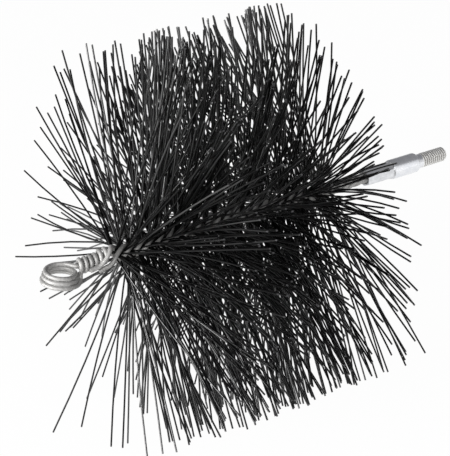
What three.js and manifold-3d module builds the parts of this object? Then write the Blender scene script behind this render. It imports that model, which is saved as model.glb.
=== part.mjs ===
// Round chimney sweep brush: black bristles held in a stem of four twisted wires.
// One wire runs on as the core of a wrapped shank, coils into an eye and wraps back over itself.
// A crimped ferrule with a threaded stud closes the other end.
// Millimetres, +X along the stem towards the stud, +Z up.
// The origin is the centre of the flat face at the stud's tip.
import * as THREE from 'three';
import { mergeVertices } from 'three/addons/utils/BufferGeometryUtils.js';
import Module from 'manifold-3d';

const wasm = await Module();
wasm.setup();

// Stud and ferrule
const studDiameter = 7.94;
const studLength = 16.1;
const studTipChamfer = 1.0;
const neckLength = 3.7;
const neckUndercut = 0.12;
const ferruleDiameter = 10.6;
const ferruleRoundLength = 16.6;
const ferruleEdgeChamfer = 0.9;
const crimpLength = 17.9;
const crimpWall = 1.0;
const crimpCornerRise = 0.65;
const crimpRampLength = 1.4;
const crimpMouthRadius = 0.35;
const crimpFlats = 6;
const turningSides = 36;

// Twisted stem
const wireDiameter = 2.1;
const layPitch = 22;
const wireGap = 0.3;
const bareStemLength = 22;
const wireEndClearance = 0.85;
const ferruleBoreClearance = 0.3;
const wireSides = 6;
const wireStepsPerLay = 12;
const wires = 4;

// Bristle head
const headLength = 127;
const brushDiameter = 203.2;
const backingThickness = 0.5;
const backingClearance = 0.28;
const backingProud = 0.15;
const backingStepsPerLay = 16;
const sliceGap = 0.3;
const slices = 4;
const strandRadius = 0.5;
const strandCollarHeight = 2.6;
const strandGap = 0.3;
const shortestReachShare = 0.9;
const floorCut = 0.5;
const overrun = 1;

// Shank and eye
const eyeInnerDiameter = 11.6;
const eyePassGap = 0.38;
const eyePassSpread = 0.6;
const eyePasses = 3;
const eyeRise = 0.85;
const eyeCrest = 0.2;
const eyeEntryRun = 2.4;
const eyeEntryRise = 0.5;
const eyeEntryPullShare = 0.8;
const eyeExitPullShare = 1.4;
const wrapEntryPullShare = 1.9;
const shankCoreClearance = 0.6;
const shankLift = 1.4;
const shankDrop = 0.3;
const shankRiseLength = 6;
const shankRiseToHead = 6.2;
const coreLayRun = 1.7;
const coreSpreadLength = 6.5;
const eyeToWrap = 2;
const wrapPitch = 2.65;
const wrapFlare = 0.5;
const wrapTurns = 5.4;
const wrapToHead = 5.58;
const cutWireStub = 0.8;
const loopSteps = 24;
const wrapSteps = 16;
const blendSteps = 7;
const spreadSteps = 12;

// Ends of the two stem wires that run on over the wraps
const longEndHeadRun = 0.7;
const longEndLength = 15.5;
const longEndSpreadLength = 5.6;
const longEndStandoff = 0.3;
const longEndSettling = 4;
const shortEndHeadRun = 0;
const shortEndLength = 9.2;
const shortEndSpreadLength = 6.5;
const shortEndStandoff = 0.05;
const shortEndSettling = 2;
const shortEndRiseShare = 0.5;
const wireEndSteps = 24;
const nearlyParallel = 0.99;

// Angles in degrees, turned about the stem from +Y towards +Z
const layStartAngle = 146;
const longEndAngle = 198;
const shortEndAngle = 231;
const wrapStartAngle = 205;
const eyeStartAngle = 70;
const eyeEndAngle = 285;
const eyePitchDown = 9;
const eyeRoll = -3;
// The backing is turned a little so that its twisted faces, drawn as flat pieces, clear the wires
const backingLead = -4.5;
const quarterTurn = 90;
const fullTurn = 360;

// Lean of the bristles in degrees, positive towards the stud, from the eye end to the stud end
const leanPlaceShares = [0, 0.08, 0.3, 0.75, 1];
const leastLean = [-12.4, -13.8, -9.7, -10.2, -13.1];
const mostLean = [27, 22.7, 5.1, 0, 3.9];
// More lean for the bristles on the +Y side, and for the upper ones, at each end of the head
const sideLean = [0.5, 4.3];
const upperLean = [3.7, -2];
const bristleSideways = 8;
const bearingHalfAngle = 6.5;
const leanTries = 60;

// Sizes that follow from the ones above
const wireRadius = wireDiameter / 2;
const studRadius = studDiameter / 2;
const ferruleRadius = ferruleDiameter / 2;
const brushRadius = brushDiameter / 2;
const eyeRadius = eyeInnerDiameter / 2 + wireRadius;
const eyePitch = wireDiameter + eyePassGap;
const wrapRadius = wireDiameter + shankCoreClearance;
const overWrapsRadius = wrapRadius + wrapFlare + wireDiameter;
const stemWireCircleRadius = wireCircleRadius(backingThickness, backingClearance);
const ferruleWireCircleRadius = wireCircleRadius(0, wireGap / 2);
const boreRadius = ferruleWireCircleRadius + wireRadius + ferruleBoreClearance;
const crimpFlatRadius = boreRadius + crimpWall;
const crimpRadius = crimpFlatRadius + crimpCornerRise;
const backingRadius = stemWireCircleRadius + wireRadius + backingProud;
const twistPerLength = fullTurn / layPitch;
const stepLength = layPitch / backingStepsPerLay;
const wireStepLength = layPitch / wireStepsPerLay;

// Places along the stem
const neckEnd = -studLength;
const shoulder = neckEnd - neckLength;
const crimpStart = shoulder - ferruleRoundLength;
const ferruleMouth = crimpStart - crimpLength;
const headBack = ferruleMouth - bareStemLength;
const headFront = headBack - headLength;
const wrapEnd = headFront - wrapToHead;
const wrapStart = wrapEnd - wrapTurns * wrapPitch;
const shankRiseStart = headFront - shankRiseToHead - shankRiseLength;
const coreSpreadStart = headFront - coreLayRun;
const eyeCentre = wrapStart - eyeToWrap - wireRadius - eyeRadius;
const floorLevel = floorCut - brushRadius;

const galvanised = { color: 0xb4b7ba, roughness: 0.38, metalness: 0.85 };
const plated = { color: 0xd2d5da, roughness: 0.22, metalness: 0.95 };
const blackBristle = { color: 0x17171a, roughness: 0.55, metalness: 0 };

function radians(degrees) {
  return THREE.MathUtils.degToRad(degrees);
}

// Radius at which four slanting wires lie side by side with a layer of this thickness between them
function wireCircleRadius(layer, clearance) {
  const across = Math.cos(radians(fullTurn / wires / 2));
  const needed = wireRadius + clearance;
  const slant = (2 * Math.PI) / layPitch;
  const a = across * across - needed * needed * slant * slant;
  const b = across * layer;
  const c = (layer * layer) / 4 - needed * needed;
  return (b + Math.sqrt(b * b - 4 * a * c)) / (2 * a);
}

// A point at a place along the stem, a distance from its axis and an angle about it
function around(x, radius, degrees) {
  const angle = radians(degrees);
  return new THREE.Vector3(x, radius * Math.cos(angle), radius * Math.sin(angle));
}

function easeIn(share) {
  return THREE.MathUtils.smoothstep(share, 0, 1);
}

// A value read off a broken line through places and heights
function alongLine(places, heights, at) {
  let last = 1;
  while (last < places.length - 1 && at > places[last]) last += 1;
  const share = (at - places[last - 1]) / (places[last] - places[last - 1]);
  return THREE.MathUtils.lerp(heights[last - 1], heights[last], share);
}

// Solids and meshes
function toSolid(geometry) {
  const bare = geometry.clone();
  bare.deleteAttribute('normal');
  bare.deleteAttribute('uv');
  const merged = mergeVertices(bare);
  const vertProperties = new Float32Array(merged.attributes.position.array);
  const triVerts = new Uint32Array(merged.index.array);
  return new wasm.Manifold(new wasm.Mesh({ numProp: 3, vertProperties, triVerts }));
}

function toGeometry(solid) {
  const mesh = solid.getMesh();
  const geometry = new THREE.BufferGeometry();
  geometry.setAttribute('position', new THREE.BufferAttribute(mesh.vertProperties, 3));
  geometry.setIndex(new THREE.BufferAttribute(mesh.triVerts, 1));
  return geometry;
}

function fromTriangles(corners) {
  const geometry = new THREE.BufferGeometry();
  geometry.setFromPoints(corners);
  return mergeVertices(geometry);
}

// A round wire along a row of points, with a flat cut at each end
function sweepWire(path, radius, sides) {
  const rings = [];
  let across = new THREE.Vector3(0, 0, 1);
  path.forEach((point, i) => {
    const before = path[Math.max(i - 1, 0)];
    const after = path[Math.min(i + 1, path.length - 1)];
    const along = after.clone().sub(before).normalize();
    if (Math.abs(along.dot(across)) > nearlyParallel) across = new THREE.Vector3(0, 1, 0);
    across = across.clone().addScaledVector(along, -along.dot(across)).normalize();
    const side = along.clone().cross(across);
    rings.push(ringAround(point, across, side, radius, sides));
  });
  const corners = [];
  for (let i = 0; i + 1 < rings.length; i += 1) joinRings(corners, rings[i], rings[i + 1]);
  capRing(corners, [...rings[0]].reverse());
  capRing(corners, rings[rings.length - 1]);
  return fromTriangles(corners);
}

function ringAround(centre, across, side, radius, sides) {
  const ring = [];
  for (let k = 0; k < sides; k += 1) {
    const angle = (2 * Math.PI * k) / sides;
    const corner = centre.clone().addScaledVector(across, radius * Math.cos(angle));
    ring.push(corner.addScaledVector(side, radius * Math.sin(angle)));
  }
  return ring;
}

function joinRings(corners, ring, next) {
  for (let k = 0; k < ring.length; k += 1) {
    const k2 = (k + 1) % ring.length;
    corners.push(ring[k], ring[k2], next[k2]);
    corners.push(ring[k], next[k2], next[k]);
  }
}

function capRing(corners, ring) {
  for (let k = 1; k + 1 < ring.length; k += 1) corners.push(ring[0], ring[k], ring[k + 1]);
}

// Stem wires
function layAngle(wire, x) {
  return layStartAngle + quarterTurn * (wire - 2) - twistPerLength * (x - headFront);
}

function wireCircle(x) {
  const share = easeIn((x - headBack) / bareStemLength);
  return THREE.MathUtils.lerp(stemWireCircleRadius, ferruleWireCircleRadius, share);
}

// The helix of one wire from inside the ferrule to a place at the front of the head
function layPath(wire, front) {
  const back = crimpStart - wireEndClearance;
  const steps = Math.ceil((back - front) / wireStepLength);
  const path = [];
  for (let i = 0; i <= steps; i += 1) {
    const x = back + ((front - back) * i) / steps;
    path.push(around(x, wireCircle(x), layAngle(wire, x)));
  }
  return path;
}

function bezierPath(start, startWay, end, endWay, steps) {
  const curve = new THREE.CubicBezierCurve3(
    start,
    start.clone().add(startWay),
    end.clone().sub(endWay),
    end,
  );
  return curve.getPoints(steps).slice(1);
}

// The shank rises and widens towards the head
function shankRise(x) {
  return easeIn((x - shankRiseStart) / shankRiseLength);
}

function shankHeight(x) {
  return THREE.MathUtils.lerp(-shankDrop, shankLift, shankRise(x));
}

// The wire closes in from the lay to the shank's middle line, and is the shank's core up to the eye
function corePath() {
  const path = [];
  for (let i = 1; i <= spreadSteps; i += 1) {
    const x = coreSpreadStart - (coreSpreadLength * i) / spreadSteps;
    const spread = 1 - easeIn(i / spreadSteps);
    const point = around(x, stemWireCircleRadius * spread, layAngle(0, x));
    point.z += shankHeight(x) * (1 - spread);
    path.push(point);
  }
  const straightStart = path[path.length - 1].x;
  for (let i = 1; i <= blendSteps; i += 1) {
    const x = THREE.MathUtils.lerp(straightStart, wrapStart, i / blendSteps);
    path.push(new THREE.Vector3(x, 0, shankHeight(x)));
  }
  return path;
}

// The eye's plane is tipped down towards the head and rolled a little about the stem
function tipped(vector) {
  vector.applyAxisAngle(new THREE.Vector3(0, 1, 0), radians(eyePitchDown));
  return vector.applyAxisAngle(new THREE.Vector3(1, 0, 0), radians(eyeRoll));
}

// Each pass of the eye is a little wider than the one above it
function eyePoint(degrees) {
  const angle = radians(degrees);
  const passes = (degrees - eyeStartAngle) / fullTurn;
  const radius = eyeRadius + eyePassSpread * passes;
  const point = new THREE.Vector3(radius * Math.cos(angle), radius * Math.sin(angle), -eyePitch * passes);
  return tipped(point).add(new THREE.Vector3(eyeCentre, 0, eyeRise));
}

function eyeWay(degrees) {
  const angle = radians(degrees);
  return tipped(new THREE.Vector3(-Math.sin(angle), Math.cos(angle), -eyePitch / (2 * Math.PI * eyeRadius)));
}

function wrapPoint(turned) {
  const x = wrapStart + (wrapPitch * turned) / fullTurn;
  const radius = wrapRadius + wrapFlare * shankRise(x);
  const point = around(x, radius, wrapStartAngle - turned);
  point.z += shankHeight(x);
  return point;
}

function wrapWay() {
  const ahead = wrapPoint(fullTurn / wrapSteps);
  return ahead.sub(wrapPoint(0)).normalize();
}

// Core, three passes of the eye, and the turns that bind the shank
function eyeAndShankPath() {
  const path = corePath();
  const coreEnd = path[path.length - 1];
  const inward = new THREE.Vector3(-eyeEntryRun, 0, eyeEntryRise);
  const eyeStart = eyePoint(eyeStartAngle);
  const ontoEye = eyeWay(eyeStartAngle).multiplyScalar(eyeRadius * eyeEntryPullShare);
  ontoEye.z -= eyeCrest;
  path.push(...bezierPath(coreEnd, inward, eyeStart, ontoEye, blendSteps));
  const sweep = (eyePasses - 1) * fullTurn + eyeEndAngle - eyeStartAngle;
  const steps = Math.round((sweep / fullTurn) * loopSteps);
  for (let i = 1; i <= steps; i += 1) path.push(eyePoint(eyeStartAngle + (sweep * i) / steps));
  const eyeEnd = path[path.length - 1];
  const offEye = eyeWay(eyeStartAngle + sweep).multiplyScalar(eyeRadius * eyeExitPullShare);
  const ontoWrap = wrapWay().multiplyScalar(wrapRadius * wrapEntryPullShare);
  path.push(...bezierPath(eyeEnd, offEye, wrapPoint(0), ontoWrap, blendSteps));
  const turnSteps = Math.round(wrapTurns * wrapSteps);
  for (let i = 1; i <= turnSteps; i += 1) path.push(wrapPoint((wrapTurns * fullTurn * i) / turnSteps));
  return path;
}

function eyeWirePath() {
  return [...layPath(0, coreSpreadStart), ...eyeAndShankPath()];
}

// Angle of a wire that keeps its lay for a while and then settles towards a last angle
function settledAngle(start, last, settling, gone) {
  const slowed = twistPerLength * settling;
  const steady = (last - slowed - start) / twistPerLength;
  if (gone < steady) return start + twistPerLength * gone;
  return last - slowed * Math.exp((steady - gone) / settling);
}

// A stem wire that moves out of the lay and runs on over the wraps, where its end is cut
function outerWirePath(wire, end) {
  const leaves = headFront + end.headRun;
  const run = end.headRun + end.length;
  const path = layPath(wire, leaves);
  for (let i = 1; i <= wireEndSteps; i += 1) {
    const gone = (run * i) / wireEndSteps;
    const out = easeIn(gone / end.spreadLength);
    const radius = THREE.MathUtils.lerp(stemWireCircleRadius, overWrapsRadius + end.standoff, out);
    const angle = settledAngle(layAngle(wire, leaves), end.lastAngle, end.settling, gone);
    const point = around(leaves - gone, radius, angle);
    point.z += end.riseShare * shankHeight(point.x) * out;
    path.push(point);
  }
  return path;
}

// The least gap between turns of one wire, measured between points along it
function leastSelfGap(path) {
  const curve = new THREE.CurvePath();
  for (let i = 0; i + 1 < path.length; i += 1) curve.add(new THREE.LineCurve3(path[i], path[i + 1]));
  const spacing = wireRadius / 2;
  const points = curve.getSpacedPoints(Math.round(curve.getLength() / spacing));
  const apart = Math.ceil((Math.PI * wireDiameter) / spacing);
  let least = Infinity;
  for (let i = 0; i < points.length; i += 1) {
    for (let j = i + apart; j < points.length; j += 1) {
      least = Math.min(least, points[i].distanceTo(points[j]));
    }
  }
  return least - wireDiameter;
}

// Threaded ferrule: a turned body with a blind bore for the wires, crimped flat on six sides
function turnedProfile() {
  const neckRadius = studRadius - neckUndercut;
  return [
    [crimpStart, 0],
    [crimpStart, boreRadius],
    [ferruleMouth + crimpMouthRadius, boreRadius],
    [ferruleMouth, boreRadius + crimpMouthRadius],
    [ferruleMouth, crimpRadius - crimpMouthRadius],
    [ferruleMouth + crimpMouthRadius, crimpRadius],
    [crimpStart - crimpRampLength, crimpRadius],
    [crimpStart, ferruleRadius],
    [shoulder - ferruleEdgeChamfer, ferruleRadius],
    [shoulder, ferruleRadius - ferruleEdgeChamfer / 2],
    [shoulder, neckRadius],
    [neckEnd, neckRadius],
    [neckEnd, studRadius],
    [-studTipChamfer, studRadius],
    [0, studRadius - studTipChamfer],
    [0, 0],
  ];
}

function turned(profile) {
  const points = profile.map(([x, radius]) => new THREE.Vector2(radius, x));
  const geometry = new THREE.LatheGeometry(points, turningSides);
  return toSolid(geometry.rotateZ(-Math.PI / 2));
}

function crimpCutter(index) {
  const outside = ferruleRadius + overrun;
  const ramp = (crimpRampLength * (outside - crimpFlatRadius)) / (ferruleRadius - crimpFlatRadius);
  const shape = new THREE.Shape([
    new THREE.Vector2(ferruleMouth - overrun, crimpFlatRadius),
    new THREE.Vector2(crimpStart - crimpRampLength, crimpFlatRadius),
    new THREE.Vector2(crimpStart - crimpRampLength + ramp, outside),
    new THREE.Vector2(ferruleMouth - overrun, outside),
  ]);
  const geometry = new THREE.ExtrudeGeometry(shape, { depth: 2 * outside, bevelEnabled: false });
  geometry.translate(0, 0, -outside);
  geometry.rotateX(radians((fullTurn * index) / crimpFlats));
  return toSolid(geometry);
}

function ferruleGeometry() {
  let body = turned(turnedProfile());
  for (let i = 0; i < crimpFlats; i += 1) body = body.subtract(crimpCutter(i));
  return toGeometry(body);
}

// Bristles
function chance() {
  return THREE.MathUtils.seededRandom();
}

// The backing between the wires is a cross, twisted with them
function crossSection(x) {
  const half = backingThickness / 2;
  const corners = [];
  for (let arm = 0; arm < wires; arm += 1) {
    const angle = layAngle(arm, x) + quarterTurn / 2 + backingLead;
    for (const [out, over] of [[backingRadius, -half], [backingRadius, half], [half, half]]) {
      const point = new THREE.Vector3(x, out, over);
      corners.push(point.applyAxisAngle(new THREE.Vector3(1, 0, 0), radians(angle)));
    }
  }
  return corners;
}

function segmentDistance(a, b) {
  const u = a.end.clone().sub(a.start);
  const v = b.end.clone().sub(b.start);
  const w = a.start.clone().sub(b.start);
  const uu = u.dot(u);
  const vv = v.dot(v);
  const uv = u.dot(v);
  const det = uu * vv - uv * uv;
  let s = det > 0 ? THREE.MathUtils.clamp((uv * v.dot(w) - vv * u.dot(w)) / det, 0, 1) : 0;
  const t = THREE.MathUtils.clamp((uv * s + v.dot(w)) / vv, 0, 1);
  s = THREE.MathUtils.clamp((uv * t - u.dot(w)) / uu, 0, 1);
  const onA = a.start.clone().addScaledVector(u, s);
  return onA.distanceTo(b.start.clone().addScaledVector(v, t));
}

// One way a bristle may lie: its root, its collar just clear of the wires, and its tip
function tryStrand(root) {
  const place = (root.x - headFront) / headLength;
  const least = alongLine(leanPlaceShares, leastLean, place);
  const most = alongLine(leanPlaceShares, mostLean, place);
  const rootAngle = THREE.MathUtils.radToDeg(Math.atan2(root.z, root.y));
  const angle = rootAngle + bristleSideways * (2 * chance() - 1);
  const skew = around(0, 1, angle);
  const sideways = THREE.MathUtils.lerp(...sideLean, place) * skew.y;
  const upwards = THREE.MathUtils.lerp(...upperLean, place) * skew.z;
  const lean = radians(THREE.MathUtils.lerp(least, most, chance()) + sideways + upwards);
  const offDown = Math.abs(THREE.MathUtils.euclideanModulo(angle + quarterTurn, fullTurn));
  const bearing = Math.min(offDown, fullTurn - offDown) < bearingHalfAngle;
  const way = around(Math.tan(lean), 1, angle).normalize();
  const outward = around(0, 1, rootAngle);
  const collarWay = way.clone().add(outward).normalize();
  const collar = root.clone().addScaledVector(collarWay, strandCollarHeight);
  const fullShare = THREE.MathUtils.lerp(shortestReachShare, 1, chance());
  const reach = brushRadius * (bearing ? 1 : fullShare * Math.cos(lean));
  const radial = way.y * way.y + way.z * way.z;
  const across = way.y * collar.y + way.z * collar.z;
  const off = collar.y * collar.y + collar.z * collar.z - reach * reach;
  const length = (Math.sqrt(across * across - radial * off) - across) / radial;
  return { start: collar, end: collar.clone().addScaledVector(way, length), way };
}

// The first way that stays clear of every bristle laid so far, or else the clearest
function layStrand(root, index, laid) {
  THREE.MathUtils.seededRandom(index);
  let best = null;
  for (let attempt = 0; attempt < leanTries; attempt += 1) {
    const strand = tryStrand(root);
    strand.clear = laid.reduce((least, other) => Math.min(least, segmentDistance(strand, other)), brushRadius);
    if (!best || strand.clear > best.clear) best = strand;
    if (strand.clear > 2 * strandRadius + strandGap) break;
  }
  laid.push(best);
  return best;
}

// Triangular section of a bristle, lined up with the corners of its root
function strandSection(centre, way, rootCorners, rootCentre) {
  return rootCorners.map((corner) => {
    const across = corner.clone().sub(rootCentre);
    across.addScaledVector(way, -across.dot(way)).normalize();
    return centre.clone().addScaledVector(across, strandRadius);
  });
}

function addStrand(corners, rootCorners, index, laid) {
  const rootCentre = rootCorners[0].clone().add(rootCorners[1]).add(rootCorners[2]).divideScalar(3);
  const strand = layStrand(rootCentre, index, laid);
  const collar = strandSection(strand.start, strand.way, rootCorners, rootCentre);
  const tip = collar.map((corner) => {
    const end = corner.clone().add(strand.end).sub(strand.start);
    const over = end.z < floorLevel ? (floorLevel - end.z) / strand.way.z : 0;
    return end.addScaledVector(strand.way, over);
  });
  joinRings(corners, rootCorners, collar);
  joinRings(corners, collar, tip);
  capRing(corners, tip);
}

// A length of the backing with its bristles, each grown from the outer edge of one arm
function bristleSlice(slice, laid) {
  const whole = headLength + sliceGap;
  const length = whole / slices - sliceGap;
  const start = headFront + (whole * slice) / slices;
  const steps = Math.round(length / stepLength);
  const sections = [];
  for (let i = 0; i <= steps; i += 1) sections.push(crossSection(start + (length * i) / steps));
  const corners = [];
  for (let i = 0; i < steps; i += 1) {
    for (let k = 0; k < sections[i].length; k += 1) {
      const k2 = (k + 1) % sections[i].length;
      const near = [sections[i][k], sections[i][k2]];
      const far = [sections[i + 1][k], sections[i + 1][k2]];
      const index = (slice * steps + i) * wires + k / 3 + 1;
      if (k % 3 === 0) addStrand(corners, [near[0], far[1], far[0]], index, laid);
      else if (k % 3 === 1) corners.push(near[0], far[1], far[0]);
      if (k % 3 === 2) corners.push(near[0], near[1], far[0], near[1], far[1], far[0]);
      else corners.push(near[0], near[1], far[1]);
    }
  }
  capCross(corners, sections[0], true);
  capCross(corners, sections[steps], false);
  return fromTriangles(corners);
}

function capCross(corners, section, front) {
  const flat = section.map((point) => new THREE.Vector2(point.y, point.z));
  for (const [a, b, c] of THREE.ShapeUtils.triangulateShape(flat, [])) {
    const [second, third] = front ? [c, b] : [b, c];
    corners.push(section[a], section[second], section[third]);
  }
}

// Assembly
function named(name, geometry, finish) {
  geometry.computeVertexNormals();
  const mesh = new THREE.Mesh(geometry, new THREE.MeshStandardMaterial(finish));
  mesh.name = name;
  return mesh;
}

function cutWire(wire) {
  return layPath(wire, headFront - cutWireStub);
}

const longEnd = {
  headRun: longEndHeadRun,
  length: longEndLength,
  spreadLength: longEndSpreadLength,
  standoff: longEndStandoff,
  lastAngle: longEndAngle,
  settling: longEndSettling,
  riseShare: 1,
};
const shortEnd = {
  headRun: shortEndHeadRun,
  length: shortEndLength,
  spreadLength: shortEndSpreadLength,
  standoff: shortEndStandoff,
  lastAngle: shortEndAngle,
  settling: shortEndSettling,
  riseShare: shortEndRiseShare,
};

const brush = new THREE.Group();
const stemPaths = [eyeWirePath(), outerWirePath(1, longEnd), outerWirePath(2, shortEnd), cutWire(3)];
const stemNames = ['eye_wire', 'stem_wire_2', 'stem_wire_3', 'stem_wire_4'];
stemPaths.forEach((path, i) => {
  brush.add(named(stemNames[i], sweepWire(path, wireRadius, wireSides), galvanised));
});
brush.add(named('threaded_ferrule', ferruleGeometry(), plated));

const laidStrands = [];
const sliceNames = ['bristles_front', 'bristles_mid_front', 'bristles_mid_back', 'bristles_back'];
sliceNames.forEach((name, i) => {
  brush.add(named(name, bristleSlice(i, laidStrands), blackBristle));
});

const strandClearance = Math.min(...laidStrands.map((strand) => strand.clear)) - 2 * strandRadius;
console.log(`least gap of the eye wire to itself: ${leastSelfGap(stemPaths[0]).toFixed(2)} mm`);
console.log(`${laidStrands.length} bristles, least gap between two: ${strandClearance.toFixed(2)} mm`);

export default brush;
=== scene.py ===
# The looks of the chimney sweep brush: black bristles, galvanised stem wires and a plated ferrule.
# Sizes are in millimetres and angles in degrees, in the model's own frame, and each piece is made
# metres at the end. Only the soft boxes and the finishes are given in metres.
import math
import random

import bmesh
import bpy
from mathutils import Matrix, Vector


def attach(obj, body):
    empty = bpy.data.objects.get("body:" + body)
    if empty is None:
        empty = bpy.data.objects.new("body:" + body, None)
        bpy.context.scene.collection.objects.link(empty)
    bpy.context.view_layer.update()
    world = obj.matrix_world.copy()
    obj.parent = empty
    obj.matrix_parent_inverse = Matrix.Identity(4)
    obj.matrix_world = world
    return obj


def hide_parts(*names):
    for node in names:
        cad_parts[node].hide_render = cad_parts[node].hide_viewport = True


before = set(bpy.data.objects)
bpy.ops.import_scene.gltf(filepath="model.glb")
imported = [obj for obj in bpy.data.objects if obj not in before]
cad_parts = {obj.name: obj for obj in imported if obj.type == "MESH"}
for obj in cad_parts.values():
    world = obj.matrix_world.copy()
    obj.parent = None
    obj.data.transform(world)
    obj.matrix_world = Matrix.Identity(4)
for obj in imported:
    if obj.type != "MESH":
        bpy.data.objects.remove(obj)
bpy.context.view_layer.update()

MM = 0.001

# Stud and ferrule
STUD_RADIUS = 3.97
STUD_LENGTH = 16.1
STUD_TIP_CHAMFER = 1.0
THREAD_PITCH = 1.411
THREAD_DEPTH = 0.84
THREAD_ROOT_SHARE = 0.084
THREAD_CREST_SHARE = 0.062
THREAD_ROUNDING = 0.07
THREAD_OVERRUN = 1.2
THREAD_FADE_START = 0.9
THREAD_FADE_LENGTH = 1.1
THREAD_STEPS = 40
THREAD_CREASE = 35
STUD_SEAT = 0.9
TIP_INSET = 0.001
NECK_LENGTH = 3.7
NECK_RADIUS = 3.85
NECK_INSET = 0.3
NECK_FIT = 0.02
FERRULE_RADIUS = 5.3
FERRULE_ROUND_LENGTH = 16.6
FERRULE_EDGE = 0.9
CRIMP_LENGTH = 17.9
CRIMP_RAMP = 1.4
CRIMP_FLATS = 6
CRIMP_WALL = 1.0
CRIMP_CORNER = 0.65
CRIMP_REACH = 0.2
JAW_MARKS_INSET = 0.3
BORE_SKIN = 0.4
MOUTH_CHAMFER = 0.35
MOUTH_EDGE = 0.4
TURNED_STEPS = 96
TURNED_ROUNDING = 0.12
TURNED_CREASE = 28
RAMP_STEPS = 8
BARREL_STEPS = 10

# Twisted stem
WIRES = 4
WIRE_RADIUS = 1.12
WIRE_STEP = 0.8
WIRE_ROUNDING_STEPS = 4
WIRE_END_INSET = 2
LAY_PITCH = 22.0
LAY_START = 146.0
BARE_STEM = 22.0
HEAD_WIRE_CLEARANCE = 0.21
FERRULE_WIRE_CLEARANCE = 0.08
BORE_CLEARANCE = 0.23
BACKING = 0.5

# Bristle head
HEAD_LENGTH = 127.0
BRUSH_RADIUS = 101.6
BRISTLE_RADIUS = 0.47
FLOOR = -101.1

# Shank and eye
EYE_INNER_RADIUS = 5.73
EYE_PITCH = 2.2
EYE_PASS_SPREAD = 0.7
EYE_PASSES = 3
EYE_RISE = 0.55
EYE_CREST = 0.2
EYE_ENTRY_RUN = 2.4
EYE_ENTRY_RISE = 0.5
EYE_ENTRY_PULL = 0.8
EYE_EXIT_PULL = 1.1
EYE_START = 70.0
EYE_END = 285.0
EYE_PITCH_DOWN = 8.0
EYE_ROLL = -3.0
EYE_STEP = 7.5
SHANK_CLEARANCE = 0.8
SHANK_LIFT = 1.4
SHANK_DROP = 0.3
SHANK_RISE_LENGTH = 6.0
SHANK_RISE_TO_HEAD = 6.2
CORE_LAY_RUN = 1.7
CORE_SPREAD = 6.5
EYE_TO_WRAP = 1.53
WRAP_PITCH = 2.65
WRAP_FLARE = 0.2
WRAP_TURNS = 5.4
WRAP_START = 205.0
WRAP_PULL = 1.8
WRAP_LEAD = 22.5
WRAP_STEPS = 30
WRAP_TO_HEAD = 5.58
CUT_STUB = 0.8
CORE_STEPS = 12
SPREAD_STEPS = 20
OUTER_STEPS = 40
BEND_STEPS = 16

# The two wire ends that run on over the wraps. Each leaves the lay at head_run inside the head and
# runs on for length, moves out within spread, stays standoff clear of the wraps, settles within
# about settling at last_angle, and follows a rise_share of the shank's rise.
LONG_END = dict(head_run=0.7, length=16.3, spread=5.6, standoff=0.15, last_angle=190.0, settling=4.0,
                rise_share=1.0)
SHORT_END = dict(head_run=0.0, length=11.0, spread=6.5, standoff=0.0, last_angle=224.0, settling=2.0,
                 rise_share=0.6)

# Places along the stem
NECK_END = -STUD_LENGTH
SHOULDER = NECK_END - NECK_LENGTH
CRIMP_START = SHOULDER - FERRULE_ROUND_LENGTH
FERRULE_MOUTH = CRIMP_START - CRIMP_LENGTH
HEAD_BACK = FERRULE_MOUTH - BARE_STEM
HEAD_FRONT = HEAD_BACK - HEAD_LENGTH
WRAP_END = HEAD_FRONT - WRAP_TO_HEAD
WRAP_BEGIN = WRAP_END - WRAP_TURNS * WRAP_PITCH
EYE_RADIUS = EYE_INNER_RADIUS + WIRE_RADIUS
EYE_CENTRE = WRAP_BEGIN - EYE_TO_WRAP - WIRE_RADIUS - EYE_RADIUS
WRAP_RADIUS = 2 * WIRE_RADIUS + SHANK_CLEARANCE
TWIST = 360 / LAY_PITCH
WIRE_SPACING = 360 / WIRES

# Vertices closer than WELD are made one, and a vertex closer than NEAR to a plane lies on it
WELD = 0.002
NEAR = 0.001

# Camera: the ways to the picture's right and ahead, the middle of the view and the lens
VIEW_RIGHT = (0.849, -0.5284, 0)
VIEW_AHEAD = (0.4576, 0.7352, -0.5)
VIEW_ALONG_STEM = -143.4
VIEW_SHIFT_RIGHT = 1.7
VIEW_SHIFT_DOWN = 3.16
VIEW_DISTANCE = 661.7
FOCAL_LENGTH = 104.2
SENSOR_WIDTH = 36
NEAREST_SEEN = 10

# Soft boxes, in metres and watts: name, place, aim, side and power
HEAD_AIM = (-0.14, 0, 0)
CRIMP_AIM = (-0.05, 0, 0)
SOFT_BOXES = (
    ("left", (-1.5, -0.1, 0.31), HEAD_AIM, 0.8, 33),
    ("camera_side", (-0.6, -1.1, 0.9), HEAD_AIM, 0.8, 8),
    ("ferrule_side", (0.6, -1.2, 0.42), CRIMP_AIM, 1.2, 4),
)
STUDIO_GREY = (0.24, 0.24, 0.25, 1)
FLOOR_REACH = 4000
FLOOR_WHITE_SHARE = 0.97


# Camera, lights and floor

def add_camera():
    """The photograph's view: thirty degrees above the stem, with the eye end nearer."""
    right = Vector(VIEW_RIGHT).normalized()
    ahead = Vector(VIEW_AHEAD).normalized()
    up = right.cross(ahead)
    aim = Vector((VIEW_ALONG_STEM, 0, 0)) + VIEW_SHIFT_RIGHT * right - VIEW_SHIFT_DOWN * up
    lens = bpy.data.cameras.new("camera")
    lens.lens = FOCAL_LENGTH
    lens.sensor_width = SENSOR_WIDTH
    lens.clip_start = NEAREST_SEEN * MM
    camera = bpy.data.objects.new("camera", lens)
    bpy.context.scene.collection.objects.link(camera)
    camera.rotation_mode = "QUATERNION"
    camera.rotation_quaternion = ahead.to_track_quat("-Z", "Y")
    camera.location = (aim - VIEW_DISTANCE * ahead) * MM
    bpy.context.scene.camera = camera


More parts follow.
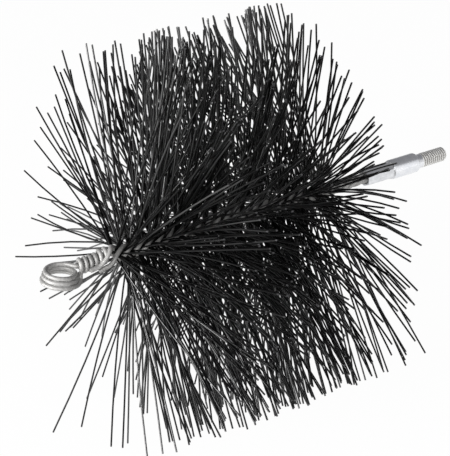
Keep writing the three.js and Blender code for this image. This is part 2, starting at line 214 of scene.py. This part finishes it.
def add_soft_box(name, place, aim, side, power):
    """A square lamp at a place, turned to its aim."""
    data = bpy.data.lights.new(name, "AREA")
    data.shape = "SQUARE"
    data.size = side
    data.energy = power
    lamp = bpy.data.objects.new(name, data)
    lamp.location = place
    lamp.rotation_mode = "QUATERNION"
    lamp.rotation_quaternion = (Vector(aim) - Vector(place)).to_track_quat("-Z", "Y")
    bpy.context.scene.collection.objects.link(lamp)


# Materials

class Value:
    """A socket that sums and products can be written with."""

    def __init__(self, finish, socket):
        self.finish = finish
        self.socket = socket

    def math(self, operation, *values):
        return self.finish.add("ShaderNodeMath", {"operation": operation}, [self, *values])

    def __add__(self, other):
        return self.math("ADD", other)

    __radd__ = __add__

    def __mul__(self, other):
        return self.math("MULTIPLY", other)

    __rmul__ = __mul__

    def __sub__(self, other):
        return self.math("SUBTRACT", other)

    def __rsub__(self, other):
        return self * -1 + other

    def between(self, low, high):
        """0 below low, 1 above high and a soft change between them."""
        sockets = {"Value": self, "From Min": low, "From Max": high}
        return self.finish.add("ShaderNodeMapRange", {"interpolation_type": "SMOOTHSTEP"}, sockets)


class Finish:
    """A material under construction, with its surface shader."""

    def __init__(self, name, **surface):
        self.material = bpy.data.materials.new(name)
        self.material.use_nodes = True
        self.tree = self.material.node_tree
        self.surface = self.tree.nodes["Principled BSDF"]
        self.paint(**surface)

    def set(self, node, sockets):
        """Links or sets a node's sockets, given by name or in order."""
        pairs = sockets.items() if isinstance(sockets, dict) else enumerate(sockets)
        for key, value in pairs:
            socket = node.inputs[key]
            if isinstance(value, Value):
                self.tree.links.new(value.socket, socket)
            elif value is not None:
                socket.default_value = value

    def add(self, kind, settings=None, sockets=(), output=0):
        """A node with its settings made first, then its sockets; gives one output."""
        node = self.tree.nodes.new(kind)
        for key, value in (settings or {}).items():
            if key == "stops":
                ramp = node.color_ramp
                while len(ramp.elements) < len(value):
                    ramp.elements.new(1)
                for element, (place, colour) in zip(ramp.elements, value):
                    element.position = place
                    element.color = colour
            else:
                setattr(node, key, value)
        self.set(node, sockets)
        return Value(self, node.outputs[output])

    def place(self):
        """The point on the piece, in metres."""
        return self.add("ShaderNodeTexCoord", output="Object")

    def along_wire(self):
        """A wire's own map: along it, then round it."""
        return self.add("ShaderNodeUVMap", {"uv_map": "UVMap"})

    def stretched(self, vector, scale):
        """A vector scaled on each axis, for streaks and rings."""
        return self.add("ShaderNodeMapping", {}, {"Vector": vector, "Scale": scale})

    def attribute(self, name):
        """A number that the mesh holds at its vertices."""
        return self.add("ShaderNodeAttribute", {"attribute_name": name}, output="Fac")

    def noise(self, vector, scale, detail):
        """Soft blotches, scale to a unit of the vector, with finer ones for each step of detail."""
        sockets = {"Vector": vector, "Scale": scale, "Detail": detail, "Roughness": 0.55}
        return self.add("ShaderNodeTexNoise", {}, sockets)

    def ramp(self, value, *stops):
        """Colours from the value, between stops of (value, colour)."""
        colours = [(place, (*colour, 1)) for place, colour in stops]
        return self.add("ShaderNodeValToRGB", {"stops": colours}, {"Fac": value})

    def mix(self, share, first, second):
        """The first colour, with a share of the second. Sockets 6 and 7 are the node's colours."""
        colours = [c if isinstance(c, Value) else (*c, 1) for c in (first, second)]
        sockets = {0: share, 6: colours[0], 7: colours[1]}
        return self.add("ShaderNodeMix", {"data_type": "RGBA"}, sockets, 2)

    def bump(self, height, strength, distance):
        """Relief as deep as the distance, in metres."""
        sockets = {"Height": height, "Strength": strength, "Distance": distance}
        return self.add("ShaderNodeBump", {}, sockets)

    def paint(self, **sockets):
        """Sets the surface's sockets, named as words with underscores."""
        titles = {name.lower().replace(" ", "_"): name for name in self.surface.inputs.keys()}
        self.set(self.surface, {titles[key]: value for key, value in sockets.items()})
        return self.material


def galvanised_wire():
    """Drawn wire with a thick dull zinc coat: warm grey, softly mottled, rubbed and pitted."""
    finish = Finish("galvanised_wire", metallic=0.6)
    place = finish.place()
    mottle = finish.noise(place, 900, 4)
    smear = finish.noise(finish.along_wire(), 3.0, 3)
    pits = finish.noise(place, 4200, 2)
    dark_zinc, pale_zinc = (0.31, 0.305, 0.295), (0.45, 0.445, 0.435)
    rubbed_zinc, pit_grey = (0.56, 0.555, 0.545), (0.2, 0.2, 0.2)
    colour = finish.ramp(mottle, (0.3, dark_zinc), (0.64, pale_zinc))
    colour = finish.mix(smear.between(0.56, 0.74) * 0.5, colour, rubbed_zinc)
    colour = finish.mix(pits.between(0.62, 0.72) * 0.45, colour, pit_grey)
    rough = 0.5 + mottle * 0.14 + smear * 0.1
    height = mottle * 0.6 + smear * 0.5 - pits.between(0.6, 0.75) * 0.3
    return finish.paint(base_color=colour, roughness=rough, normal=finish.bump(height, 0.3, 0.00005))


def bright_plating():
    """Bright zinc on turned steel: fine turning rings and a cloudy, faintly blue cast."""
    finish = Finish("bright_plating", metallic=1.0)
    place = finish.place()
    cloud = finish.noise(place, 260, 3)
    rings = finish.noise(finish.stretched(place, (5200, 60, 60)), 1.0, 2)
    specks = finish.noise(place, 3800, 2)
    blue_zinc, clear_zinc, speck_grey = (0.78, 0.8, 0.84), (0.89, 0.9, 0.92), (0.45, 0.45, 0.46)
    colour = finish.ramp(cloud, (0.32, blue_zinc), (0.66, clear_zinc))
    colour = finish.mix(specks.between(0.66, 0.75) * 0.3, colour, speck_grey)
    rough = 0.28 + cloud * 0.08 + rings * 0.06
    height = rings * 0.6 + specks * 0.15
    return finish.paint(base_color=colour, roughness=rough, normal=finish.bump(height, 0.15, 0.00002))


def crimped_plating():
    """The same plating pressed by the crimping jaws: duller, with streaks along the stem."""
    finish = Finish("crimped_plating", metallic=1.0)
    place = finish.place()
    cloud = finish.noise(place, 420, 4)
    streaks = finish.noise(finish.stretched(place, (120, 2600, 2600)), 1.0, 3)
    dull_zinc, clear_zinc, streak_grey = (0.66, 0.67, 0.69), (0.82, 0.83, 0.85), (0.36, 0.36, 0.37)
    colour = finish.ramp(cloud, (0.3, dull_zinc), (0.68, clear_zinc))
    colour = finish.mix(streaks.between(0.58, 0.72) * 0.35, colour, streak_grey)
    rough = 0.28 + cloud * 0.12 + streaks * 0.1
    height = streaks * 0.7 + cloud * 0.5
    return finish.paint(base_color=colour, roughness=rough, normal=finish.bump(height, 0.3, 0.00004))


def thread_plating():
    """Plated thread: pale crests, with painted shade darkening the grooves."""
    finish = Finish("thread_plating", metallic=0.5)
    place = finish.place()
    depth = finish.attribute("groove")
    cloud = finish.noise(place, 700, 3)
    # Painted shade: the deeper a point lies in a groove, the more its colour is mixed towards a darker
    # grey.
    groove_shade = depth.between(0.15, 0.8) * (0.75 + cloud * 0.4)
    crest_zinc, groove_shade_grey = (0.92, 0.915, 0.89), (0.38, 0.37, 0.35)
    colour = finish.mix(groove_shade, crest_zinc, groove_shade_grey)
    rough = 0.48 + groove_shade * 0.14 + cloud * 0.06
    return finish.paint(base_color=colour, roughness=rough, normal=finish.bump(cloud, 0.12, 0.00002))


def black_bristle():
    """Extruded black filament, some bristles glossier than others, with paler cut ends."""
    finish = Finish("black_bristle", ior=1.25, coat_roughness=0.16, coat_ior=1.6)
    tone = finish.attribute("tone")
    along = finish.attribute("along")
    place = finish.place()
    dust = finish.noise(place, 90, 3)
    grain = finish.noise(place, 2600, 2)
    deep_black, soft_black = (0.0006, 0.0006, 0.0006), (0.003, 0.003, 0.0031)
    dust_grey, cut_end_grey = (0.008, 0.008, 0.008), (0.07, 0.07, 0.072)
    colour = finish.mix(tone, deep_black, soft_black)
    colour = finish.mix(dust.between(0.5, 0.8) * 0.25, colour, dust_grey)
    colour = finish.mix(along.between(0.992, 0.998) * 0.6, colour, cut_end_grey)
    rough = 0.17 + grain * 0.08 + tone * 0.12
    gloss = tone.between(0.5, 1.0)
    height = finish.bump(grain, 0.15, 0.00003)
    return finish.paint(base_color=colour, roughness=rough, coat_weight=gloss, normal=height)


def studio_floor():
    """A pale floor that is seen nearly white, also in the metal, and keeps a trace of the shadow."""
    finish = Finish("studio_floor", base_color=(0.9, 0.9, 0.9, 1), roughness=0.9)
    camera_ray = finish.add("ShaderNodeLightPath", output="Is Camera Ray")
    glossy_ray = finish.add("ShaderNodeLightPath", output="Is Glossy Ray")
    through_ray = finish.add("ShaderNodeLightPath", output="Is Transmission Ray")
    seen = camera_ray.math("MAXIMUM", glossy_ray).math("MAXIMUM", through_ray)
    white = finish.add("ShaderNodeEmission", {}, {"Color": (1, 1, 1, 1), "Strength": 1.0})
    plain = Value(finish, finish.surface.outputs[0])
    both = finish.add("ShaderNodeMixShader", {}, {0: seen * FLOOR_WHITE_SHARE, 1: plain, 2: white})
    output = finish.tree.nodes["Material Output"]
    finish.tree.links.new(both.socket, output.inputs["Surface"])
    return finish.material


# Wires

def ease(share):
    """A soft start and end between 0 and 1."""
    s = min(max(share, 0.0), 1.0)
    return s * s * (3 - 2 * s)


def mixed(a, b, share):
    return a + (b - a) * share


def around(x, radius, degrees):
    """A point a distance from the stem's axis, turned from +Y towards +Z."""
    angle = math.radians(degrees)
    return Vector((x, radius * math.cos(angle), radius * math.sin(angle)))


def wire_circle_radius(layer, clearance):
    """Radius of the circle on which slanting wires stay a clearance off the layer between them."""
    across = math.cos(math.radians(WIRE_SPACING / 2))
    needed = WIRE_RADIUS + clearance
    slant = 2 * math.pi / LAY_PITCH
    a = across ** 2 - (needed * slant) ** 2
    b = across * layer
    c = layer ** 2 / 4 - needed ** 2
    return (b + math.sqrt(b * b - 4 * a * c)) / (2 * a)


HEAD_CIRCLE = wire_circle_radius(BACKING, HEAD_WIRE_CLEARANCE)
FERRULE_CIRCLE = wire_circle_radius(0, FERRULE_WIRE_CLEARANCE)


def lay_angle(wire, x):
    """Where a wire of the left-handed lay is at a place along the stem."""
    return LAY_START + WIRE_SPACING * (wire - 2) - TWIST * (x - HEAD_FRONT)


def lay_path(wire, front):
    """The helix of one wire from inside the ferrule to a place at the front of the head."""
    back = CRIMP_START - WIRE_END_INSET
    steps = round((back - front) / WIRE_STEP)
    path = []
    for i in range(steps + 1):
        x = mixed(back, front, i / steps)
        circle = mixed(HEAD_CIRCLE, FERRULE_CIRCLE, ease((x - HEAD_BACK) / BARE_STEM))
        path.append(around(x, circle, lay_angle(wire, x)))
    return path


def bend(start, start_way, end, end_way):
    """Points on a soft bend between two places, after the first."""
    near, far = start + start_way, end - end_way
    path = []
    for i in range(1, BEND_STEPS + 1):
        t = i / BEND_STEPS
        s = 1 - t
        path.append(start * s ** 3 + near * 3 * s * s * t + far * 3 * s * t * t + end * t ** 3)
    return path


def shank_rise(x):
    """The shank rises and widens towards the head."""
    start = HEAD_FRONT - SHANK_RISE_TO_HEAD - SHANK_RISE_LENGTH
    return ease((x - start) / SHANK_RISE_LENGTH)


def shank_height(x):
    """Height of the shank's middle over the stem's axis."""
    return mixed(-SHANK_DROP, SHANK_LIFT, shank_rise(x))


EYE_ROLLED = Matrix.Rotation(math.radians(EYE_ROLL), 3, "X")
EYE_PITCHED = Matrix.Rotation(math.radians(EYE_PITCH_DOWN), 3, "Y")
EYE_TILT = EYE_ROLLED @ EYE_PITCHED


def eye_point(degrees):
    """A place on the eye's coil, where each pass is a little wider than the one above it."""
    angle = math.radians(degrees)
    passes = (degrees - EYE_START) / 360
    radius = EYE_RADIUS + EYE_PASS_SPREAD * passes
    place = Vector((radius * math.cos(angle), radius * math.sin(angle), -EYE_PITCH * passes))
    return EYE_TILT @ place + Vector((EYE_CENTRE, 0, EYE_RISE))


def eye_way(degrees):
    """The way in which the eye's coil runs at an angle."""
    angle = math.radians(degrees)
    fall = -EYE_PITCH / (2 * math.pi * EYE_RADIUS)
    return EYE_TILT @ Vector((-math.sin(angle), math.cos(angle), fall))


def wrap_point(turned):
    """A place on the wraps round the shank, after so many degrees."""
    x = WRAP_BEGIN + WRAP_PITCH * turned / 360
    radius = WRAP_RADIUS + WRAP_FLARE * shank_rise(x)
    place = around(x, radius, WRAP_START - turned)
    place.z += shank_height(x)
    return place


def eye_wire_path():
    """One wire: the lay, the shank's core, the eye's three passes and the wraps."""
    leaves = HEAD_FRONT - CORE_LAY_RUN
    path = lay_path(0, leaves)
    for i in range(1, SPREAD_STEPS + 1):
        x = leaves - CORE_SPREAD * i / SPREAD_STEPS
        spread = 1 - ease(i / SPREAD_STEPS)
        place = around(x, HEAD_CIRCLE * spread, lay_angle(0, x))
        place.z += shank_height(x) * (1 - spread)
        path.append(place)
    for i in range(1, CORE_STEPS + 1):
        x = mixed(leaves - CORE_SPREAD, WRAP_BEGIN, i / CORE_STEPS)
        path.append(Vector((x, 0, shank_height(x))))
    core_end = path[-1]
    onto_eye = eye_way(EYE_START) * EYE_RADIUS * EYE_ENTRY_PULL
    onto_eye.z -= EYE_CREST
    inward = Vector((-EYE_ENTRY_RUN, 0, EYE_ENTRY_RISE))
    path += bend(core_end, inward, eye_point(EYE_START), onto_eye)
    sweep = 360 * (EYE_PASSES - 1) + EYE_END - EYE_START
    steps = round(sweep / EYE_STEP)
    path += [eye_point(EYE_START + sweep * i / steps) for i in range(1, steps + 1)]
    off_eye = eye_way(EYE_START + sweep) * EYE_RADIUS * EYE_EXIT_PULL
    onto_wrap = (wrap_point(WRAP_LEAD) - wrap_point(0)).normalized() * WRAP_RADIUS * WRAP_PULL
    path += bend(path[-1], off_eye, wrap_point(0), onto_wrap)
    steps = round(WRAP_TURNS * WRAP_STEPS)
    path += [wrap_point(WRAP_TURNS * 360 * i / steps) for i in range(1, steps + 1)]
    return path


def settled_angle(start, last, settling, gone):
    """Angle of a wire that keeps its lay for a while, then settles towards a last angle."""
    slowed = TWIST * settling
    steady = (last - slowed - start) / TWIST
    if gone < steady:
        return start + TWIST * gone
    return last - slowed * math.exp((steady - gone) / settling)


def outer_wire_path(wire, head_run, length, spread, standoff, last_angle, settling, rise_share):
    """A stem wire that moves out of the lay and runs on over the wraps to its cut end."""
    leaves = HEAD_FRONT + head_run
    path = lay_path(wire, leaves)
    over_wraps = WRAP_RADIUS + WRAP_FLARE + 2 * WIRE_RADIUS + standoff
    for i in range(1, OUTER_STEPS + 1):
        gone = (head_run + length) * i / OUTER_STEPS
        out = ease(gone / spread)
        angle = settled_angle(lay_angle(wire, leaves), last_angle, settling, gone)
        place = around(leaves - gone, mixed(HEAD_CIRCLE, over_wraps, out), angle)
        place.z += rise_share * shank_height(place.x) * out
        path.append(place)
    return path


def show(piece, slot, material, *nodes):
    """Gives a piece its material and its body, and hides the imported nodes that it stands for; the
    slot is not used.
    """
    piece.data.materials.clear()
    piece.data.materials.append(material)
    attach(piece, "root")
    if nodes:
        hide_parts(*nodes)


def new_piece(name, shape):
    """A piece from a bmesh in millimetres, made metres."""
    bmesh.ops.scale(shape, vec=(MM, MM, MM), verts=shape.verts)
    mesh = bpy.data.meshes.new(name)
    shape.to_mesh(mesh)
    shape.free()
    piece = bpy.data.objects.new(name, mesh)
    bpy.context.scene.collection.objects.link(piece)
    return piece


def round_wire(name, path):
    """A round wire bent along a path, with sheared ends."""
    curve = bpy.data.curves.new(name, "CURVE")
    curve.dimensions = "3D"
    curve.bevel_depth = WIRE_RADIUS
    curve.bevel_resolution = WIRE_ROUNDING_STEPS
    curve.use_fill_caps = True
    spline = curve.splines.new("POLY")
    spline.points.add(len(path) - 1)
    for point, place in zip(spline.points, path):
        point.co = (*place, 1)
    bent = bpy.data.objects.new(name, curve)
    bpy.context.scene.collection.objects.link(bent)
    bpy.context.view_layer.update()
    mesh = bpy.data.meshes.new_from_object(bent.evaluated_get(bpy.context.evaluated_depsgraph_get()))
    bpy.data.objects.remove(bent)
    shape = bmesh.new()
    shape.from_mesh(mesh)
    bmesh.ops.remove_doubles(shape, verts=shape.verts, dist=WELD)
    for face in shape.faces:
        face.smooth = len(face.verts) == 4
    for edge in shape.edges:
        edge.smooth = all(face.smooth for face in edge.link_faces)
    return new_piece(name, shape)


# Ferrule and stud

def turned(profile):
    """A turned solid from its half profile of (place along the stem, radius)."""
    shape = bmesh.new()
    corners = [shape.verts.new((x, r, 0)) for x, r in profile]
    for a, b in zip(corners, corners[1:]):
        shape.edges.new((a, b))
    bmesh.ops.bevel(shape, geom=corners[1:-1], affect="VERTICES", offset=TURNED_ROUNDING, segments=3,
                    profile=0.5, material=-1, clamp_overlap=True)
    bmesh.ops.spin(shape, geom=shape.verts[:] + shape.edges[:], cent=(0, 0, 0), axis=(1, 0, 0),
                   angle=2 * math.pi, steps=TURNED_STEPS, use_merge=True)
    bmesh.ops.remove_doubles(shape, verts=shape.verts, dist=WELD)
    bmesh.ops.recalc_face_normals(shape, faces=shape.faces)
    return shape


def soften(shape, sharpest):
    """Smooth faces, with a crisp line wherever the surface turns more than this."""
    for face in shape.faces:
        face.smooth = True
    for edge in shape.edges:
        edge.smooth = edge.calc_face_angle(0) < math.radians(sharpest)


BORE_RADIUS = FERRULE_CIRCLE + WIRE_RADIUS + BORE_CLEARANCE
CRIMP_FLAT = BORE_RADIUS + CRIMP_WALL
CRIMP_RADIUS = CRIMP_FLAT + CRIMP_CORNER


def press_flats(shape):
    """Presses the crimp's flats into the turned body, with a short ramp up to its round part."""
    span = 360 / CRIMP_FLATS
    for vertex in shape.verts:
        x, y, z = vertex.co
        radius = math.hypot(y, z)
        if radius < BORE_RADIUS + BORE_SKIN or x > CRIMP_START + CRIMP_REACH:
            continue
        rise = ease((x - (CRIMP_START - CRIMP_RAMP)) / CRIMP_RAMP)
        angle = math.degrees(math.atan2(z, y))
        off_middle = (angle + span / 2) % span - span / 2
        flat = mixed(CRIMP_FLAT, FERRULE_RADIUS, rise) / math.cos(math.radians(off_middle))
        if flat < radius:
            vertex.co.y *= flat / radius
            vertex.co.z *= flat / radius


def ferrule():
    """The turned body with its bore and neck, pressed to flats over the wires."""
    barrel_start = FERRULE_MOUTH + MOUTH_EDGE
    ramp_start = CRIMP_START - CRIMP_RAMP
    barrel = []
    for i in range(BARREL_STEPS):
        barrel.append((mixed(barrel_start, ramp_start, i / BARREL_STEPS), CRIMP_RADIUS))
    ramp = []
    for i in range(RAMP_STEPS + 1):
        share = i / RAMP_STEPS
        ramp.append((mixed(ramp_start, CRIMP_START, share), mixed(CRIMP_RADIUS, FERRULE_RADIUS, share)))
    shape = turned([
        (CRIMP_START, 0),
        (CRIMP_START, BORE_RADIUS),
        (FERRULE_MOUTH + MOUTH_CHAMFER, BORE_RADIUS),
        (FERRULE_MOUTH, BORE_RADIUS + MOUTH_CHAMFER),
        (FERRULE_MOUTH, CRIMP_RADIUS - MOUTH_EDGE),
        *barrel,
        *ramp,
        (SHOULDER - FERRULE_EDGE, FERRULE_RADIUS),
        (SHOULDER, FERRULE_RADIUS - FERRULE_EDGE / 2),
        (SHOULDER, NECK_RADIUS),
        (NECK_END - NECK_INSET, NECK_RADIUS),
        (NECK_END - NECK_INSET, 0),
    ])
    press_flats(shape)
    soften(shape, TURNED_CREASE)
    return new_piece("ferrule_body", shape)


def threaded_stud():
    """A right-hand thread: one pitch of its profile wound round the stud, then trimmed."""
    root = STUD_RADIUS - THREAD_DEPTH
    start = NECK_END - THREAD_OVERRUN - THREAD_PITCH
    profile = [
        (0, root),
        (THREAD_ROOT_SHARE, root),
        (0.5 - THREAD_CREST_SHARE, STUD_RADIUS),
        (0.5 + THREAD_CREST_SHARE, STUD_RADIUS),
        (1 - THREAD_ROOT_SHARE, root),
        (1, root),
    ]
    shape = bmesh.new()
    corners = [shape.verts.new((start + share * THREAD_PITCH, r, 0)) for share, r in profile]
    for a, b in zip(corners, corners[1:]):
        shape.edges.new((a, b))
    bmesh.ops.bevel(shape, geom=corners[1:-1], affect="VERTICES", offset=THREAD_ROUNDING, segments=2,
                    profile=0.5, material=-1, clamp_overlap=True)
    turns = math.ceil((STUD_LENGTH + THREAD_OVERRUN) / THREAD_PITCH) + 2
    steps = THREAD_STEPS * turns
    bmesh.ops.spin(shape, geom=shape.verts[:] + shape.edges[:], cent=(0, 0, 0), axis=(1, 0, 0),
                   dvec=(THREAD_PITCH * turns / steps, 0, 0), angle=2 * math.pi * turns, steps=steps)
    bmesh.ops.remove_doubles(shape, verts=shape.verts, dist=WELD)
    for place, way in ((-TIP_INSET, 1), (NECK_END - STUD_SEAT, -1)):
        bmesh.ops.bisect_plane(shape, geom=shape.verts[:] + shape.edges[:] + shape.faces[:],
                               plane_co=(place, 0, 0), plane_no=(way, 0, 0), clear_outer=True)
        open_edges = [edge for edge in shape.edges if edge.is_boundary]
        rim = [edge for edge in open_edges if all(abs(v.co.x - place) < NEAR for v in edge.verts)]
        bmesh.ops.contextual_create(shape, geom=rim)
    bmesh.ops.recalc_face_normals(shape, faces=shape.faces)
    groove = shape.verts.layers.float.new("groove")
    for vertex in shape.verts:
        x, y, z = vertex.co
        radius = math.hypot(y, z)
        fade = ease((NECK_END + THREAD_FADE_START - x) / THREAD_FADE_LENGTH)
        target = mixed(radius, NECK_RADIUS - NECK_FIT, fade)
        target = min(target, STUD_RADIUS - STUD_TIP_CHAMFER - x)
        vertex.co.y *= target / radius
        vertex.co.z *= target / radius
        vertex[groove] = min(max((STUD_RADIUS - radius) / THREAD_DEPTH, 0), 1) * (1 - fade)
    soften(shape, THREAD_CREASE)
    return new_piece("threaded_stud", shape)


# Bristles

# The least and most lean of the tufts towards the stud, at shares of the head's length from the eye
# end, and how much more the bristles have that point to +Y, up, or between the two
LEAN_PLACES = (0, 0.06, 0.25, 0.75, 1)
LEAST_LEAN = (-2, -16, -8, -4, -11)
MOST_LEAN = (22, 37, 10, -3, -4)
SIDE_LEAN = (0, -5, 3, 4, 0)
UPPER_LEAN = (3, 15, 0, 5, -3)
SLANT_LEAN = (2, 0, 6, 0, 4)
BRISTLE_COUNT = 1008
TUFT_SIZE = 7
TUFT_SIZE_SPREAD = 3
TUFT_COMMON_LEAN_SHARE = 0.45
BRISTLE_SIDES = 5
BRISTLE_CUTS = 4

# Roots, short ends and the seed of the dice
ROOT_RADIUS = 1.2
ROOTS_FORWARD = 0.8
ROOTS_SHORT_OF_BACK = 0.6
TIPS_INSIDE = 2.4
MOST_PROUD = 0.6
CUT_SHORT_SHARE = 0.14
CUT_SHORT_LEAST = 1
CUT_SHORT_MOST = 8
DICE_SEED = 3327

# How far tufts, and bristles in their tuft, usually stray
TUFT_TURN = 1.5
TUFT_REACH = 0.8
TUFT_BOW = 1.0
BRISTLE_PLACE_SHARE = 0.008
BRISTLE_ROOT_TURN = 12
BRISTLE_TURN = 4.5
BRISTLE_LEAN_SHARE = 0.13
BRISTLE_REACH = 0.7
BRISTLE_BOW = 0.9


def lean_at(table, place):
    """A value between the ones that a table gives at the lean places."""
    last = 1
    while last < len(LEAN_PLACES) - 1 and place > LEAN_PLACES[last]:
        last += 1
    before, after = LEAN_PLACES[last - 1:last + 1]
    return mixed(table[last - 1], table[last], (place - before) / (after - before))


def bristle_blank():
    """One straight bristle a unit long, cut square, with rings to bend it at."""
    shape = bmesh.new()
    bmesh.ops.create_cone(shape, cap_ends=True, segments=BRISTLE_SIDES, radius1=1, radius2=1, depth=1,
                          matrix=Matrix.Translation((0, 0, 0.5)))
    sides = [e for e in shape.edges if abs(e.verts[0].co.z - e.verts[1].co.z) > 0.5]
    bmesh.ops.subdivide_edges(shape, edges=sides, cuts=BRISTLE_CUTS)
    for face in shape.faces:
        face.smooth = len(face.verts) == 4
    for edge in shape.edges:
        edge.smooth = all(face.smooth for face in edge.link_faces)
    mesh = bpy.data.meshes.new("bristle_blank")
    shape.to_mesh(mesh)
    shape.free()
    return mesh


def lay_bristle(shape, blank, root, tip, bow, radius, tone):
    """Adds the blank, laid from root to tip with a slight bow."""
    first = len(shape.verts)
    shape.from_mesh(blank)
    shape.verts.ensure_lookup_table()
    along = shape.verts.layers.float["along"]
    tones = shape.verts.layers.float["tone"]
    way = (tip - root).normalized()
    across = way.orthogonal().normalized()
    side = way.cross(across)
    for vertex in shape.verts[first:]:
        x, y, t = vertex.co
        centre = root.lerp(tip, t) + bow * (4 * t * (1 - t))
        vertex.co = centre + (across * x + side * y) * radius
        vertex[along] = t
        vertex[tones] = tone


def bristle_tip(root, angle, lean, length):
    """The end of a bristle, which is cut off where it would pass through the floor."""
    way = around(math.tan(math.radians(lean)), 1, angle).normalized()
    below = FLOOR - root.z
    if way.z < 0 and length * way.z < below:
        length = below / way.z
    return root + way * length


def lean_of(place, spread, angle):
    """Lean of a bristle from its place along the head, its spread in the tuft and its angle."""
    lean = mixed(lean_at(LEAST_LEAN, place), lean_at(MOST_LEAN, place), spread)
    skew = around(0, 1, angle)
    lean += lean_at(SIDE_LEAN, place) * skew.y + lean_at(UPPER_LEAN, place) * skew.z
    return lean + lean_at(SLANT_LEAN, place) * 2 * skew.y * skew.z


def thrown_bow(dice, usual):
    """A small sideways bow, thrown on each axis."""
    return Vector([dice.gauss(0, usual) for _ in range(3)])


def bristle_rows():
    """Place, root, tip, bow and tone of each bristle, in tufts along the rows between the wires."""
    dice = random.Random(DICE_SEED)
    rows = []
    for tuft in range(BRISTLE_COUNT // TUFT_SIZE):
        arm = tuft % WIRES
        share = (tuft + dice.random()) * TUFT_SIZE / BRISTLE_COUNT
        tuft_lean = dice.triangular(0, 1, TUFT_COMMON_LEAN_SHARE)
        tuft_turn = dice.gauss(0, TUFT_TURN)
        tuft_reach = dice.gauss(0, TUFT_REACH)
        tuft_bow = thrown_bow(dice, TUFT_BOW)
        for _ in range(TUFT_SIZE + dice.randint(-TUFT_SIZE_SPREAD, TUFT_SIZE_SPREAD)):
            place = min(max(share + dice.gauss(0, BRISTLE_PLACE_SHARE), 0), 1)
            x = mixed(HEAD_FRONT - ROOTS_FORWARD, HEAD_BACK - ROOTS_SHORT_OF_BACK, place)
            row_angle = lay_angle(arm, x) + WIRE_SPACING / 2
            root = around(x, ROOT_RADIUS, row_angle + dice.gauss(0, BRISTLE_ROOT_TURN))
            angle = row_angle + tuft_turn + dice.gauss(0, BRISTLE_TURN)
            spread = min(max(tuft_lean + dice.gauss(0, BRISTLE_LEAN_SHARE), 0), 1)
            length = BRUSH_RADIUS - TIPS_INSIDE
            length += min(tuft_reach + dice.gauss(0, BRISTLE_REACH), MOST_PROUD)
            if dice.random() < CUT_SHORT_SHARE:
                length -= dice.uniform(CUT_SHORT_LEAST, CUT_SHORT_MOST)
            tip = bristle_tip(root, angle, lean_of(place, spread, angle), length)
            bow = tuft_bow + thrown_bow(dice, BRISTLE_BOW)
            rows.append((place, root, tip, bow, dice.random()))
    return rows


def bristles(finish):
    """Four lengths of the head, each its own piece."""
    blank = bristle_blank()
    lengths = ("front", "mid_front", "mid_back", "back")
    shapes = []
    for _ in lengths:
        shape = bmesh.new()
        shape.verts.layers.float.new("along")
        shape.verts.layers.float.new("tone")
        shapes.append(shape)
    for place, root, tip, bow, tone in bristle_rows():
        index = min(int(place * len(lengths)), len(lengths) - 1)
        lay_bristle(shapes[index], blank, root, tip, bow, BRISTLE_RADIUS, tone)
    for name, shape in zip(lengths, shapes):
        show(new_piece(f"tufts_{name}", shape), "bristle", finish, f"bristles_{name}")


wire_finish = galvanised_wire()
wires = (
    ("eye_and_shank_wire", eye_wire_path(), "eye_wire"),
    ("stem_wire_long_end", outer_wire_path(1, **LONG_END), "stem_wire_2"),
    ("stem_wire_short_end", outer_wire_path(2, **SHORT_END), "stem_wire_3"),
    ("stem_wire_cut_even", lay_path(3, HEAD_FRONT - CUT_STUB), "stem_wire_4"),
)
for name, path, node in wires:
    show(round_wire(name, path), "stem_wire", wire_finish, node)

body = ferrule()
show(body, "ferrule", bright_plating(), "threaded_ferrule")
body.data.materials.append(crimped_plating())
for face in body.data.polygons:
    face.material_index = 1 if face.center.x < (CRIMP_START - JAW_MARKS_INSET) * MM else 0
show(threaded_stud(), "ferrule", thread_plating())

bristles(black_bristle())

floor_shape = bmesh.new()
bmesh.ops.create_grid(floor_shape, x_segments=1, y_segments=1, size=FLOOR_REACH)
bmesh.ops.translate(floor_shape, vec=(0, 0, FLOOR), verts=floor_shape.verts)
floor = new_piece("floor", floor_shape)
floor.data.materials.append(studio_floor())

add_camera()
for box in SOFT_BOXES:
    add_soft_box(*box)
world = bpy.data.worlds.new("studio")
world.use_nodes = True
world.node_tree.nodes["Background"].inputs["Color"].default_value = STUDIO_GREY
bpy.context.scene.world = world
bpy.context.scene.view_settings.view_transform = "Standard"
